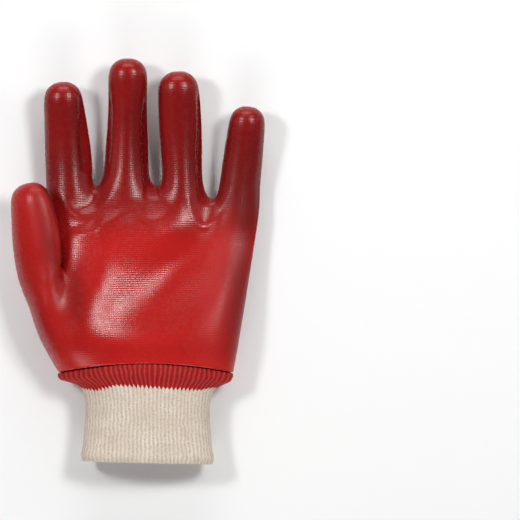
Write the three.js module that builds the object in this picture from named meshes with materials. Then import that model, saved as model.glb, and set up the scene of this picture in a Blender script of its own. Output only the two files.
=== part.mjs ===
// A PVC coated work glove with a knitted wrist, for the left hand, lying on its back with the palm up.
// +X runs from the thumb side to the little finger, +Y from the wrist to the fingertips, +Z out of the palm.
// Lengths are in millimetres. While it is built, x = 0 is the axis of the wrist, y = 0 the wrist seam in the
// middle of the palm and z = 0 the surface that the glove lies on.
import * as THREE from 'three';

// Coated hand
const HAND_WALL = 1.7; // cotton jersey liner and its PVC skin together
const PALM_LENGTH = 113; // wrist seam to the web between middle and ring finger
const KNUCKLE_WIDTH = 139.5;
const KNUCKLE_DEPTH = 28;
const KNUCKLE_SHIFT = 2.9; // middle of the knuckles, towards the little finger
const SEAM_WIDTH = 115;
const SEAM_DEPTH = 38;
const SEAM_SHIFT = -1.3; // middle of the wrist seam, towards the thumb
const SEAM_ARCH = 6.2; // how much lower the seam lies at the sides than in the middle
const FINGER_LENGTH = 86; // middle finger, from its root
const FINGER_WIDTH = 27;
const FINGER_DEPTH = 22;
const FINGER_CURL = 8; // how far the middle fingertip lifts towards the palm side
const THUMB_REACH = 107; // seam to the start of the thumb's dome
const THUMB_SPREAD = 31; // how far the thumb stands out beyond the end of the seam
const THUMB_DEPTH = 24;
const THUMB_LIFT = 42; // height of the thumb's inner edge over the surface that the glove lies on
const FLATTENING = 0.5; // how much of the back is pressed flat by the surface

// Knitted wrist
const SLEEVE_LENGTH = 63.7; // wrist seam to the open end
const CUFF_WIDTH = 81;
const CUFF_DEPTH = 35;
const MOUTH_WIDTH = 86.5;
const MOUTH_DEPTH = 38;
const MOUTH_SLANT = 1; // how much lower the open end lies at the little finger's side than in the middle
const DIP_LENGTH = 15.5; // how far below the seam the PVC reaches
const DIP_SLANT = 1.5;
const DIP_TOOTH = 1.0; // the bare ribs run this far up into the coating
const KNIT_WALL = 2.0; // at the crest of a rib
const RIB_HEIGHT = 0.8;
const RIB_COUNT = 76;
const SEAM_OVERLAP = 3; // the ribbed band reaches this far up inside the hand
const SEAT_CLEARANCE = 0.8; // between the hand's wall and the band inside it
const PIECE_CLEARANCE = 0.3;

// Grid of the coated hand
const FINGER_COLUMNS = 5; // faces across the front of a finger
const SIDE_FACES = 3; // faces across the thickness
// Degrees at which the front and the back of a finger's section begin and end: the thumb's are turned towards
// its inner edge where it leaves the palm, since that edge hangs over the palm.
const FINGER_FACES = { front: [146.25, 33.75], back: [-33.75, -146.25] };
const THUMB_FACES = { front: [150, 0], back: [-68, -168] };
const FINGER_RINGS = 7;
const THUMB_ROOT_RINGS = 4;
const SECTION_POWER = 2.3; // 2 is an ellipse, more is boxier
const SIDE_START = 0.93; // where the palm's front ends and its side begins, of the half width
const DOME_LENGTH = 0.95; // of a fingertip, over its half width
const DOME_RINGS = [26, 50, 70]; // degrees up the dome

// Fingers from the thumb's side. left and right are the edges of the root, as shares of KNUCKLE_WIDTH, and
// leftWeb and rightWeb how high those edges lie, as shares of PALM_LENGTH. length, shift of the tip and curl
// are shares of FINGER_LENGTH and FINGER_CURL, lean says how late the shift comes, and the pinches say how
// much of its half width the front of the finger loses at each side.
const FINGERS = [
  {
    name: 'index', left: -0.009, right: 0.224, leftWeb: 0.92, rightWeb: 0.97,
    length: 0.885, shift: -0.052, lean: 1.6, curl: 0.9, pinchLeft: 0.02, pinchRight: 0.2,
  },
  {
    name: 'middle', left: 0.253, right: 0.491, leftWeb: 1.0, rightWeb: 0.985,
    length: 1, shift: 0.022, lean: 0.4, curl: 1, pinchLeft: 0.14, pinchRight: 0.24,
  },
  {
    name: 'ring', left: 0.543, right: 0.737, leftWeb: 0.985, rightWeb: 0.905,
    length: 0.965, shift: -0.03, lean: 1.5, curl: 0.95, pinchLeft: 0.03, pinchRight: 0.14,
  },
  {
    name: 'little', left: 0.799, right: 1, leftWeb: 0.905, rightWeb: 0.84,
    length: 0.795, shift: 0.078, lean: 1, curl: 0.8, pinchLeft: 0.02, pinchRight: 0.05,
  },
];

// Width and depth of each finger from root (at 0) to the start of its dome (at 1), as shares of FINGER_WIDTH
// and FINGER_DEPTH, and how strongly the front is pinched there.
const FINGER_SECTIONS = [
  { at: 0, index: 1.17, middle: 1.22, ring: 1.02, little: 1.12, depth: 1.14, pinch: 0 },
  { at: 0.1, index: 1.18, middle: 1.13, ring: 1.01, little: 1.12, depth: 1.1, pinch: 0.4 },
  { at: 0.25, index: 1.18, middle: 1.1, ring: 0.985, little: 1.01, depth: 1.03, pinch: 0.9 },
  { at: 0.5, index: 1.145, middle: 1.03, ring: 1.04, little: 0.99, depth: 0.97, pinch: 1 },
  { at: 0.75, index: 1.06, middle: 0.95, ring: 1.06, little: 0.95, depth: 0.95, pinch: 0.6 },
  { at: 1, index: 0.97, middle: 0.985, ring: 1.03, little: 0.9, depth: 0.95, pinch: 0 },
];

// Sections of the thumb beyond its root. The outer edge faces away from the hand and the inner edge faces the
// index finger: X is the distance beyond the end of the seam as a share of THUMB_SPREAD, Y the height above
// the seam as a share of THUMB_REACH and Z the height over the surface as a share of THUMB_LIFT.
const THUMB_SECTIONS = [
  { outerX: 0.775, outerY: 0.465, outerZ: 0.48, innerX: -0.11, innerY: 0.705, innerZ: 0.92, depth: 1.04 },
  { outerX: 0.87, outerY: 0.61, outerZ: 0.53, innerX: -0.06, innerY: 0.775, innerZ: 0.97, depth: 1.01 },
  { outerX: 0.93, outerY: 0.75, outerZ: 0.58, innerX: 0.0, innerY: 0.86, innerZ: 0.98, depth: 0.98 },
  { outerX: 0.93, outerY: 0.93, outerZ: 0.62, innerX: 0.12, innerY: 0.99, innerZ: 1, depth: 0.95 },
];
// The way out of the palm at the thumb's root: how far along +Y at its lower end, and how far along Z.
const THUMB_ROOT_TURN = 0.8;
const THUMB_ROOT_RISE = { front: 0.7, top: 0.8, back: 0 };
// How far the root runs straight on before it turns, of its length at the lower and at the higher end.
const THUMB_ROOT_PULL = { low: 1.1, high: 0.5 };

// Rows of the palm, from the seam at 0 to the finger roots at 1. depth goes from the seam's at 0 to the
// knuckles' at 1, side is how far the thumb's side stands out, as a share of THUMB_SPREAD, and thumb marks
// the first and last row of the thumb's root.
const PALM_ROWS = [
  { at: 0, depth: 0, side: 0 },
  { at: 0.08, depth: 0, side: 0.2, thumb: 'start' },
  { at: 0.18, depth: -0.05, side: 0.25 },
  { at: 0.28, depth: 0, side: 0.2 },
  { at: 0.38, depth: 0.12, side: 0.08 },
  { at: 0.49, depth: 0.28, side: -0.04 },
  { at: 0.6, depth: 0.48, side: -0.14, thumb: 'end' },
  { at: 0.68, depth: 0.62, side: -0.14 },
  { at: 0.75, depth: 0.74, side: -0.12 },
  { at: 0.82, depth: 0.85, side: -0.08 },
  { at: 0.88, depth: 0.92, side: -0.05 },
  { at: 0.94, depth: 0.97, side: 0 },
  { at: 1, depth: 1, side: 0 },
];
const VALLEY_START = 0.74; // where the valleys between the fingers begin in the palm
const VALLEY_POWER = 1.6; // more keeps the valleys shallow for longer
const WIDENING_POWER = 0.9; // under 1 widens the palm early on its way to the knuckles
const THUMB_SIDE_POWER = 4; // more keeps what stands out at the thumb's side close to the edge
const THUMB_SIDE_STEP = 0.2; // half height of the root's side face, of the palm's half depth
// How far the first columns of the palm are drawn in beside the thumb, of the half width: most at a row, and
// over what share of the palm this fades out.
const THUMB_INSET = { most: 0.12, at: 0.5, fade: 0.2 };
// The palm runs on level into the thumb's ball, where its section would fall away at the side: how much, and
// between which rows this comes in and fades out.
const THUMB_BLEND = { most: 0.5, from: 0.12, to: 0.38, end: 0.66 };
const PINCH_FADE = [0.1, 0.5]; // the pinch of a finger's front comes in between these heights of its section

// Swellings, hollows and folds of the palm side. x from the axis and y from the seam are the middle of each,
// as shares of KNUCKLE_WIDTH and PALM_LENGTH, turn is its direction in degrees from +X, long and wide are
// its radii as shares of PALM_LENGTH and height is a share of SEAM_DEPTH.
const PALM_RELIEF = [
  { name: 'thumb ball', x: -0.36, y: 0.3, turn: 96, long: 0.36, wide: 0.2, height: 0.22 },
  { name: 'palm hollow', x: 0.02, y: 0.5, turn: 60, long: 0.34, wide: 0.24, height: -0.12 },
  { name: 'outer heel', x: 0.28, y: 0.22, turn: 80, long: 0.3, wide: 0.18, height: 0.06 },
  { name: 'finger pads', x: 0.03, y: 0.86, turn: -4, long: 0.6, wide: 0.09, height: 0.03 },
  { name: 'diagonal ridge', x: 0.0, y: 0.62, turn: 36, long: 0.34, wide: 0.08, height: 0.04 },
  { name: 'thumb fold', x: -0.25, y: 0.77, turn: 23, long: 0.22, wide: 0.06, height: 0.06 },
];

// How far the surface is evened out beside the webs and the thumb's root, and the least share that counts.
const EVENING = { rounds: 7, share: 0.45, webReach: 7, thumbReach: 15, seamFade: 24, least: 0.02 };

// Profile of the knitted wrist, from the seam at 0 to the mouth at 1: flare goes from the cuff's size at 0
// to the seam's at 1, and spread from the cuff's size at 0 to the mouth's at 1.
const SLEEVE_SECTIONS = [
  { at: 0, flare: 1, spread: 0 },
  { at: 0.06, flare: 0.97, spread: 0 },
  { at: 0.12, flare: 0.84, spread: 0 },
  { at: 0.18, flare: 0.58, spread: 0 },
  { at: 0.26, flare: 0.18, spread: 0 },
  { at: 0.4, flare: 0, spread: 0 },
  { at: 0.65, flare: 0, spread: 0.12 },
  { at: 0.85, flare: 0, spread: 0.55 },
  { at: 0.96, flare: 0, spread: 1 },
  { at: 1, flare: 0, spread: 0.7 },
];
const BAND_RINGS = [0.02, 0.08, 0.14, 0.19];
const CUFF_RINGS = [0.33, 0.5, 0.75, 0.96, 1];
const ARCH_END = 0.3; // the seam's arch has faded out this far down the sleeve
const TRACE_STEPS = 10; // the oval is traced with this many steps a point before its points are spaced

const RED_PVC = 0xa81420;
const CREAM_COTTON = 0xd8cbb8;
const ROUGHNESS = { hand: 0.35, band: 0.5, knit: 0.95 };

const lerp = THREE.MathUtils.lerp;
const clamp = THREE.MathUtils.clamp;
const smoothstep = THREE.MathUtils.smoothstep;
const toRadians = THREE.MathUtils.degToRad;

// The value of one column of a table at a place between its rows, on a smooth curve through them.
function between(rows, at, column) {
  const last = rows.length - 1;
  const found = rows.findIndex((row) => row.at >= at);
  const k = clamp(found < 0 ? last : found, 1, last);
  const span = rows[k].at - rows[k - 1].at;
  const share = clamp((at - rows[k - 1].at) / span, 0, 1);
  const slope = (i) => {
    const before = rows[Math.max(i - 1, 0)];
    const after = rows[Math.min(i + 1, last)];
    return (span * (after[column] - before[column])) / (after.at - before.at);
  };
  return hermite(rows[k - 1][column], slope(k - 1), rows[k][column], slope(k), share);
}

// A cubic from a to b that leaves with slope da and arrives with slope db.
function hermite(a, da, b, db, t) {
  const [t2, t3] = [t ** 2, t ** 3];
  return a * (2 * t3 - 3 * t2 + 1) + da * (t3 - 2 * t2 + t) + b * (3 * t2 - 2 * t3) + db * (t3 - t2);
}

// Height of a rounded section with half depth 1 at a share of its half width.
function sectionHeight(across) {
  return (1 - Math.min(Math.abs(across), 1) ** SECTION_POWER) ** (1 / SECTION_POWER);
}

// Points stay on or above the surface that the glove lies on.
function settle(z) {
  return Math.max(z, 0);
}

// A surface under construction: shared points, and faces of 3 or 4 point numbers facing out.
class Surface {
  points = [];
  faces = [];

  add(x, y, z) {
    this.points.push(new THREE.Vector3(x, y, z));
    return this.points.length - 1;
  }

  addPoint(p) {
    return this.add(p.x, p.y, p.z);
  }

  // A closed band of faces between two rings of points, leaving out the places that skip names.
  join(ring, next, skip = () => false) {
    ring.forEach((point, i) => {
      const after = (i + 1) % ring.length;
      if (!skip(i)) this.faces.push([point, ring[after], next[after], next[i]]);
    });
  }

  // Moves each point that is named towards the mean of its neighbours, by its own share.
  even(shares, rounds) {
    const neighbours = this.points.map(() => new Set());
    for (const face of this.faces) {
      face.forEach((a, i) => {
        const b = face[(i + 1) % face.length];
        neighbours[a].add(b);
        neighbours[b].add(a);
      });
    }
    for (let round = 0; round < rounds; round++) {
      const before = this.points.map((p) => p.clone());
      shares.forEach((share, i) => {
        if (!neighbours[i].size) return;
        const mean = new THREE.Vector3();
        neighbours[i].forEach((n) => mean.add(before[n]));
        this.points[i].lerp(mean.divideScalar(neighbours[i].size), share);
      });
    }
  }

  normals() {
    const sums = this.points.map(() => new THREE.Vector3());
    for (const face of this.faces) {
      const corners = face.map((i) => this.points[i]);
      const normal = corners[2].clone().sub(corners[0]).cross(corners.at(-1).clone().sub(corners[1]));
      face.forEach((i) => sums[i].add(normal));
    }
    return sums.map((n) => n.normalize());
  }

  geometry() {
    const index = [];
    for (const [a, b, c, d] of this.faces) {
      if (d === undefined) index.push(a, b, c);
      else if (this.gap(a, c) <= this.gap(b, d)) index.push(a, b, c, a, c, d);
      else index.push(a, b, d, b, c, d);
    }
    const made = new THREE.BufferGeometry().setFromPoints(this.points);
    made.setIndex(index);
    made.computeVertexNormals();
    return made;
  }

  gap(a, b) {
    return this.points[a].distanceTo(this.points[b]);
  }
}

// Angles of the points round a finger, from the left end of its front to the right and on round its back.
function ringAngles({ front, back }) {
  const spread = (from, to, faces) =>
    Array.from({ length: faces }, (_, i) => toRadians(lerp(from, to, i / faces)));
  return [
    ...spread(front[0], front[1], FINGER_COLUMNS),
    ...spread(front[1], back[0], SIDE_FACES),
    ...spread(back[0], back[1], FINGER_COLUMNS),
    ...spread(back[1], front[0] - 360, SIDE_FACES),
  ];
}

const RING_ANGLES = ringAngles(FINGER_FACES);
const RING_COUNT = RING_ANGLES.length;

// One point of a finger's section: the front is pinched in from the sides, the back keeps the full width.
function fingerPoint(angle, halfWidth, halfDepth, pinchLeft, pinchRight) {
  const [cos, sin] = [Math.cos(angle), Math.sin(angle)];
  const pinch = (cos < 0 ? pinchLeft : pinchRight) * smoothstep(sin, PINCH_FADE[0], PINCH_FADE[1]);
  return [halfWidth * cos * (1 - pinch), halfDepth * sin];
}

// A ring of points round a finger or the thumb.
function addRing(surface, section, angles, pinchLeft = 0, pinchRight = 0) {
  return angles.map((angle) => {
    const [x, z] = fingerPoint(angle, section.halfWidth, section.halfDepth, pinchLeft, pinchRight);
    const p = section.centre.clone().addScaledVector(section.across, x).addScaledVector(section.front, z);
    return surface.add(p.x, p.y, settle(p.z));
  });
}

// Closes the end of a finger with a blunt dome: rings, and a grid of faces inside the last one.
function addDome(surface, ring, section) {
  const { centre, across, front, halfWidth, halfDepth } = section;
  const along = new THREE.Vector3().crossVectors(front, across);
  const place = (x, z) => {
    const rise = sectionHeight(Math.hypot(x, z)) * halfWidth * DOME_LENGTH;
    const p = centre.clone().addScaledVector(across, x * halfWidth).addScaledVector(front, z * halfDepth);
    return surface.addPoint(p.addScaledVector(along, rise));
  };
  let last = ring;
  let radius = 1;
  for (const degrees of DOME_RINGS) {
    radius = Math.cos(toRadians(degrees)) ** (2 / SECTION_POWER);
    const next = RING_ANGLES.map((a) => place(radius * Math.cos(a), radius * Math.sin(a)));
    surface.join(last, next);
    last = next;
  }
  const cell = (a, b) => {
    if (b === 0) return last[a];
    if (a === FINGER_COLUMNS) return last[FINGER_COLUMNS + b];
    if (b === SIDE_FACES) return last[2 * FINGER_COLUMNS + SIDE_FACES - a];
    if (a === 0) return last[RING_COUNT - b];
    return undefined;
  };
  const grid = [];
  for (let a = 0; a <= FINGER_COLUMNS; a++) {
    const [cos, sin] = [Math.cos(RING_ANGLES[a]), Math.sin(RING_ANGLES[a])];
    grid.push([]);
    for (let b = 0; b <= SIDE_FACES; b++) {
      const x = radius * cos;
      const z = radius * sin * (1 - (2 * b) / SIDE_FACES);
      grid[a].push(cell(a, b) ?? place(x, z));
    }
  }
  for (let a = 0; a < FINGER_COLUMNS; a++) {
    for (let b = 0; b < SIDE_FACES; b++) {
      surface.faces.push([grid[a][b], grid[a + 1][b], grid[a + 1][b + 1], grid[a][b + 1]]);
    }
  }
}

// Height of the seam's edge at a place across the hand: it arches down towards the sides.
function seamHeight(across) {
  return -SEAM_ARCH * Math.min(1, Math.abs(across)) ** 2;
}

// Half width, middle and half depth of the palm at a share of the way from the seam to the finger roots.
function palmSize(up) {
  const depth = between(PALM_ROWS, up, 'depth');
  return {
    halfWidth: lerp(SEAM_WIDTH, KNUCKLE_WIDTH, up ** WIDENING_POWER) / 2,
    middle: lerp(SEAM_SHIFT, KNUCKLE_SHIFT, up),
    halfDepth: lerp(SEAM_DEPTH, KNUCKLE_DEPTH, depth) / 2,
  };
}

// How far the palm side stands out at a place over its plain rounded section.
function palmRelief(x, y) {
  let height = 0;
  for (const fold of PALM_RELIEF) {
    const turn = toRadians(fold.turn);
    const [dx, dy] = [x - fold.x * KNUCKLE_WIDTH, y - fold.y * PALM_LENGTH];
    const along = (dx * Math.cos(turn) + dy * Math.sin(turn)) / (fold.long * PALM_LENGTH);
    const aside = (dy * Math.cos(turn) - dx * Math.sin(turn)) / (fold.wide * PALM_LENGTH);
    height += fold.height * SEAM_DEPTH * Math.exp(-(along ** 2) - aside ** 2);
  }
  return height;
}

// The finger roots: every column of the palm ends in one of these, front and back.
function rootColumns() {
  const edgeOf = (share) => KNUCKLE_SHIFT + (share - 0.5) * KNUCKLE_WIDTH;
  const reach = Math.cos(RING_ANGLES[FINGER_COLUMNS]);
  return FINGERS.flatMap((finger, f) => {
    const [left, right] = [edgeOf(finger.left), edgeOf(finger.right)];
    const inset = ((right - left) / 2) * (1 - reach);
    const from = f === 0 ? left + inset : left;
    const to = f === FINGERS.length - 1 ? right - inset : right;
    return RING_ANGLES.slice(0, FINGER_COLUMNS + 1).map((angle) => {
      const share = (1 - Math.cos(angle) / Math.cos(RING_ANGLES[0])) / 2;
      return {
        x: lerp(from, to, share),
        y: PALM_LENGTH * lerp(finger.leftWeb, finger.rightWeb, share),
        rise: (Math.sin(angle) * FINGER_DEPTH * FINGER_SECTIONS[0].depth) / 2,
      };
    });
  });
}

// Where the middle of the thickness lies above the surface that the glove rests on.
function middleHeight(halfDepth) {
  return halfDepth - FLATTENING;
}

// The palm: a tube of rows from the seam to the finger roots. Returns its rings.
function addPalm(surface, roots) {
  const columns = roots.length;
  const knuckles = palmSize(1);
  const rootMiddle = middleHeight((FINGER_DEPTH * FINGER_SECTIONS[0].depth) / 2);
  return PALM_ROWS.map(({ at, side: sideShare }) => {
    const size = palmSize(at);
    const middle = middleHeight(size.halfDepth);
    const intoFingers = smoothstep(at, VALLEY_START, 1) ** VALLEY_POWER;
    const thumbInset = THUMB_INSET.most * Math.exp(-(((at - THUMB_INSET.at) / THUMB_INSET.fade) ** 2));
    const { most, from, to, end } = THUMB_BLEND;
    const thumbBlend = 1 - most * smoothstep(at, 0, from) * (1 - smoothstep(at, to, end));
    const standOut = (across) => sideShare * THUMB_SPREAD * Math.max(0, -across) ** THUMB_SIDE_POWER;
    const toSide = (across) => size.middle + size.halfWidth * across - standOut(across);
    const place = (j, side) => {
      const root = roots[j];
      const even = SIDE_START * ((2 * j) / (columns - 1) - 1);
      let across = lerp(even, (root.x - knuckles.middle) / knuckles.halfWidth, smoothstep(at, 0, 1));
      if (side > 0) across += thumbInset * Math.max(0, 1 - j / FINGER_COLUMNS);
      const x = toSide(across);
      const y = lerp(seamHeight(across), root.y, at);
      const height = sectionHeight(side > 0 && across < 0 ? across * thumbBlend : across);
      const relief = side > 0 ? palmRelief(x, y) * height * (1 - intoFingers) : 0;
      const palm = middle + side * size.halfDepth * height + relief;
      return surface.add(x, y, settle(lerp(palm, rootMiddle + side * root.rise, intoFingers)));
    };
    const sidePlace = (side, k) => {
      const root = roots[side < 0 ? 0 : columns - 1];
      const height = THUMB_SIDE_STEP * (1 - (2 * (k - 1)) / (SIDE_FACES - 2));
      const across = side * sectionHeight(height);
      const y = lerp(seamHeight(across), root.y, at);
      return surface.add(toSide(across), y, settle(middle + height * size.halfDepth));
    };
    const ring = [];
    for (let j = 0; j < columns; j++) ring.push(place(j, 1));
    for (let k = 1; k < SIDE_FACES; k++) ring.push(sidePlace(1, k));
    for (let j = columns - 1; j >= 0; j--) ring.push(place(j, -1));
    for (let k = SIDE_FACES - 1; k > 0; k--) ring.push(sidePlace(-1, k));
    return ring;
  });
}

// The saddle between two neighbouring fingers. Returns the two chains of points that its fingers share.
function addWeb(surface, front, back) {
  const chains = front.map((start, side) => {
    const inside = Array.from({ length: SIDE_FACES - 1 }, (_, k) =>
      surface.addPoint(surface.points[start].clone().lerp(surface.points[back[side]], (k + 1) / SIDE_FACES)),
    );
    return [start, ...inside, back[side]];
  });
  const [left, right] = chains;
  for (let k = 0; k < SIDE_FACES; k++) {
    surface.faces.push([left[k], right[k], right[k + 1], left[k + 1]]);
  }
  return chains;
}

// A finger: rings from its root to its tip, closed by a dome.
function addFinger(surface, root, finger) {
  const start = new THREE.Vector3();
  root.forEach((i) => start.addScaledVector(surface.points[i], 1 / root.length));
  const tipHalfWidth = (FINGER_SECTIONS.at(-1)[finger.name] * FINGER_WIDTH) / 2;
  const straight = finger.length * FINGER_LENGTH - tipHalfWidth * DOME_LENGTH;
  const centreAt = (at) =>
    new THREE.Vector3(
      start.x + finger.shift * FINGER_LENGTH * at ** finger.lean,
      start.y + straight * at,
      start.z + finger.curl * FINGER_CURL * at ** 2,
    );
  let last = root;
  let section;
  for (let k = 1; k <= FINGER_RINGS; k++) {
    const at = k / FINGER_RINGS;
    const along = centreAt(at).sub(centreAt(at - 1 / FINGER_RINGS));
    const across = new THREE.Vector3(along.y, -along.x, 0).normalize();
    section = {
      centre: centreAt(at),
      across,
      front: new THREE.Vector3().crossVectors(across, along).normalize(),
      halfWidth: (between(FINGER_SECTIONS, at, finger.name) * FINGER_WIDTH) / 2,
      halfDepth: (between(FINGER_SECTIONS, at, 'depth') * FINGER_DEPTH) / 2,
    };
    const pinch = between(FINGER_SECTIONS, at, 'pinch');
    const [left, right] = [finger.pinchLeft * pinch, finger.pinchRight * pinch];
    const next = addRing(surface, section, RING_ANGLES, left, right);
    surface.join(last, next);
    last = next;
  }
  addDome(surface, last, section);
}

// The sections of the thumb beyond its root, in millimetres.
function thumbSections() {
  const seamEnd = SEAM_SHIFT - SEAM_WIDTH / 2;
  const place = (x, y, z) => new THREE.Vector3(seamEnd - x * THUMB_SPREAD, y * THUMB_REACH, z * THUMB_LIFT);
  const sections = THUMB_SECTIONS.map((row) => {
    const outer = place(row.outerX, row.outerY, row.outerZ);
    const inner = place(row.innerX, row.innerY, row.innerZ);
    return {
      centre: outer.clone().add(inner).multiplyScalar(0.5),
      across: inner.clone().sub(outer).normalize(),
      halfWidth: inner.distanceTo(outer) / 2,
      halfDepth: (row.depth * THUMB_DEPTH) / 2,
    };
  });
  return sections.map((section, k) => {
    const before = sections[Math.max(k - 1, 0)].centre;
    const after = sections[Math.min(k + 1, sections.length - 1)].centre;
    const along = after.clone().sub(before);
    along.addScaledVector(section.across, -along.dot(section.across)).normalize();
    return { ...section, along, front: new THREE.Vector3().crossVectors(section.across, along) };
  });
}

// The thumb: a root that turns from the side of the palm to the thumb's own direction, then rings and a dome.
function addThumb(surface, root) {
  const sections = thumbSections();
  const turned = ringAngles(THUMB_FACES);
  const first = addRing(surface, sections[0], turned);
  let last = root;
  for (let k = 1; k < THUMB_ROOT_RINGS; k++) {
    const next = root.map((start, i) => {
      const [from, to] = [surface.points[start], surface.points[first[i]]];
      const isFront = i <= FINGER_COLUMNS;
      const isBack = i >= FINGER_COLUMNS + SIDE_FACES && i <= 2 * FINGER_COLUMNS + SIDE_FACES;
      const isTop = i > FINGER_COLUMNS && i < FINGER_COLUMNS + SIDE_FACES;
      let up = isTop ? 1 : 0;
      if (isFront) up = i / FINGER_COLUMNS;
      if (isBack) up = 1 - (i - FINGER_COLUMNS - SIDE_FACES) / FINGER_COLUMNS;
      const { front, top, back } = THUMB_ROOT_RISE;
      const rise = (isFront && front) || (isTop && top) || back;
      const reach = from.distanceTo(to) * lerp(THUMB_ROOT_PULL.low, THUMB_ROOT_PULL.high, up);
      const out = new THREE.Vector3(-1, THUMB_ROOT_TURN * (1 - up), rise).setLength(reach);
      const on = sections[0].along.clone().setLength(reach);
      const at = k / THUMB_ROOT_RINGS;
      const [x, y, z] = ['x', 'y', 'z'].map((c) => hermite(from[c], out[c], to[c], on[c], at));
      return surface.add(x, y, settle(z));
    });
    surface.join(last, next);
    last = next;
  }
  surface.join(last, first);
  last = first;
  sections.slice(1).forEach((section, k) => {
    const angles = turned.map((angle, i) => lerp(angle, RING_ANGLES[i], (k + 1) / (sections.length - 1)));
    const next = addRing(surface, section, angles);
    surface.join(last, next);
    last = next;
  });
  addDome(surface, last, sections.at(-1));
}

// How strongly each point is evened out: most beside the webs and the thumb's root, none at the seam.
function eveningShares(surface, groups) {
  const shares = new Map();
  surface.points.forEach((p, i) => {
    let most = 0;
    for (const { points, reach } of groups) {
      const nearest = Math.min(...points.map((n) => surface.points[n].distanceTo(p)));
      most = Math.max(most, Math.exp(-((nearest / reach) ** 2)));
    }
    const aboveSeam = smoothstep(p.y + SEAM_ARCH, 0, EVENING.seamFade);
    if (most * aboveSeam > EVENING.least) shares.set(i, EVENING.share * most * aboveSeam);
  });
  return shares;
}

// The hollow hand: one outer skin, the same skin moved inwards by the wall, and the edge at the seam.
function coatedHand() {
  const surface = new Surface();
  const roots = rootColumns();
  const rings = addPalm(surface, roots);
  const sideStart = 2 * roots.length + SIDE_FACES - 1;
  const backOf = (j) => sideStart - 1 - j;
  const firstThumbRow = PALM_ROWS.findIndex((row) => row.thumb === 'start');
  const lastThumbRow = PALM_ROWS.findIndex((row) => row.thumb === 'end');
  rings.slice(1).forEach((next, r) => {
    const besideThumb = r >= firstThumbRow && r < lastThumbRow;
    surface.join(rings[r], next, (i) => besideThumb && i >= backOf(0));
  });

  const top = rings.at(-1);
  const count = FINGER_COLUMNS + 1;
  const webs = FINGERS.slice(1).map((_, f) => {
    const [j, k] = [(f + 1) * count - 1, (f + 1) * count];
    return addWeb(surface, [top[j], top[k]], [top[backOf(j)], top[backOf(k)]]);
  });
  FINGERS.forEach((finger, f) => {
    const [first, last] = [f * count, (f + 1) * count - 1];
    const front = top.slice(first, last + 1);
    const back = top.slice(backOf(last), backOf(first) + 1);
    const right = webs[f] ? webs[f][0].slice(1, -1) : top.slice(roots.length, roots.length + SIDE_FACES - 1);
    const left = webs[f - 1] ? webs[f - 1][1].slice(1, -1).reverse() : top.slice(sideStart);
    addFinger(surface, [...front, ...right, ...back, ...left], finger);
  });

  const thumbRings = rings.slice(firstThumbRow, lastThumbRow + 1);
  const thumbRoot = [
    ...thumbRings.map((ring) => ring[0]),
    ...thumbRings.at(-1).slice(sideStart).reverse(),
    ...thumbRings.map((ring) => ring[backOf(0)]).reverse(),
    ...thumbRings[0].slice(sideStart),
  ];
  addThumb(surface, thumbRoot);

  const groups = [
    { points: webs.flat(2), reach: EVENING.webReach },
    { points: thumbRoot, reach: EVENING.thumbReach },
  ];
  surface.even(eveningShares(surface, groups), EVENING.rounds);
  return hollow(surface, rings[0]);
}

// Gives a skin its wall: the same skin again, moved inwards, and an edge round the open rim.
function hollow(surface, rim) {
  const count = surface.points.length;
  surface.normals().forEach((normal, i) => {
    surface.addPoint(surface.points[i].clone().addScaledVector(normal, -HAND_WALL));
  });
  const inner = surface.faces.map((face) => face.map((i) => i + count).reverse());
  surface.faces.push(...inner);
  rim.forEach((point, i) => {
    const after = rim[(i + 1) % rim.length];
    surface.faces.push([after, point, point + count, after + count]);
  });
  return surface;
}

// Points evenly spaced round an oval, from its left end over its top, with the direction out of each.
function ovalPoints(halfWidth, halfDepth, count) {
  const steps = TRACE_STEPS * count;
  const power = 2 / SECTION_POWER;
  const traced = Array.from({ length: steps + 1 }, (_, i) => {
    const angle = Math.PI * (1 - (2 * i) / steps);
    const [cos, sin] = [Math.cos(angle), Math.sin(angle)];
    const x = halfWidth * Math.sign(cos) * Math.abs(cos) ** power;
    return new THREE.Vector2(x, halfDepth * Math.sign(sin) * Math.abs(sin) ** power);
  });
  const lengths = [0];
  for (let i = 1; i <= steps; i++) lengths.push(lengths[i - 1] + traced[i].distanceTo(traced[i - 1]));
  const spaced = [];
  let k = 0;
  for (let i = 0; i < count; i++) {
    const target = (lengths[steps] * i) / count;
    while (lengths[k + 1] < target) k++;
    const share = (target - lengths[k]) / (lengths[k + 1] - lengths[k]);
    spaced.push(traced[k].clone().lerp(traced[k + 1], share));
  }
  return spaced.map((at, i) => {
    const along = spaced[(i + 1) % count].clone().sub(spaced[(i + count - 1) % count]).normalize();
    return { at, out: new THREE.Vector2(-along.y, along.x) };
  });
}

// Section of the wrist at a share of its length below the seam, where it fits inside the hand.
function sleeveSize(at) {
  const flare = between(SLEEVE_SECTIONS, at, 'flare');
  const spread = between(SLEEVE_SECTIONS, at, 'spread');
  const seat = 2 * (HAND_WALL + SEAT_CLEARANCE);
  const width = lerp(lerp(CUFF_WIDTH, MOUTH_WIDTH, spread), SEAM_WIDTH - seat, flare);
  const depth = lerp(lerp(CUFF_DEPTH, MOUTH_DEPTH, spread), SEAM_DEPTH - seat, flare);
  return {
    halfWidth: width / 2,
    halfDepth: depth / 2,
    x: SEAM_SHIFT * flare,
    z: lerp(middleHeight(depth / 2), middleHeight(SEAM_DEPTH / 2), flare),
  };
}

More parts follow.
